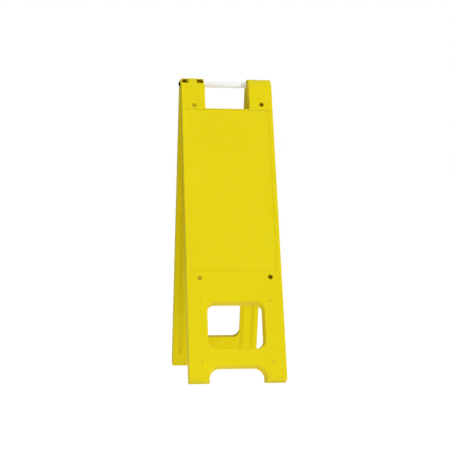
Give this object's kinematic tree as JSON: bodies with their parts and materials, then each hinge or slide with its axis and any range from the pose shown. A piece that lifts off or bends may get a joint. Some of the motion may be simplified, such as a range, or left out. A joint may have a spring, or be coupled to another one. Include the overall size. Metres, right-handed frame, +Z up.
{
  "type": "a-frame barricade",
  "caption": "Folding yellow plastic A-frame barricade: two hollow panels hinged on one rod, with a white pipe handle between the ears and a recessed face for a sign sheet on each panel.",
  "frame": {"origin": "on the ground, straight below the middle of the hinge axis, the barricade standing open", "axes": "+Z up; +X along the hinge axis, to the right for a viewer of the front panel; the front panel stands on the -Y side"},
  "size_m": [0.348, 0.705, 1.097],
  "materials": {
    "yellow_plastic": "blow-moulded polyethylene, safety yellow, fine mould grain, satin",
    "white_pipe": "extruded white PVC pipe, smooth satin gloss",
    "zinc_steel": "zinc-plated steel rod",
    "black_plastic": "black moulded plastic, slightly worn"
  },
  "bodies": {
    "front_leaf": {"front_panel": "yellow_plastic", "front_fill_plug": "yellow_plastic", "hinge_rod": "zinc_steel", "rod_cap_left": "black_plastic", "rod_cap_right": "black_plastic", "handle_spacer": "white_pipe"},
    "rear_leaf": {"rear_panel": "yellow_plastic", "rear_fill_plug": "yellow_plastic"},
    "handle": {"handle_tube": "white_pipe"}
  },
  "joints": [
    {"name": "panel_hinge", "type": "hinge", "parent": "front_leaf", "child": "rear_leaf", "pos_m": [0, 0, 1.076], "axis": [1, 0, 0], "range_deg": [-32.2, 0]},
    {"name": "handle_spin", "type": "hinge", "parent": "front_leaf", "child": "handle", "pos_m": [0, 0, 1.076], "axis": [1, 0, 0], "continuous": true}
  ]
}
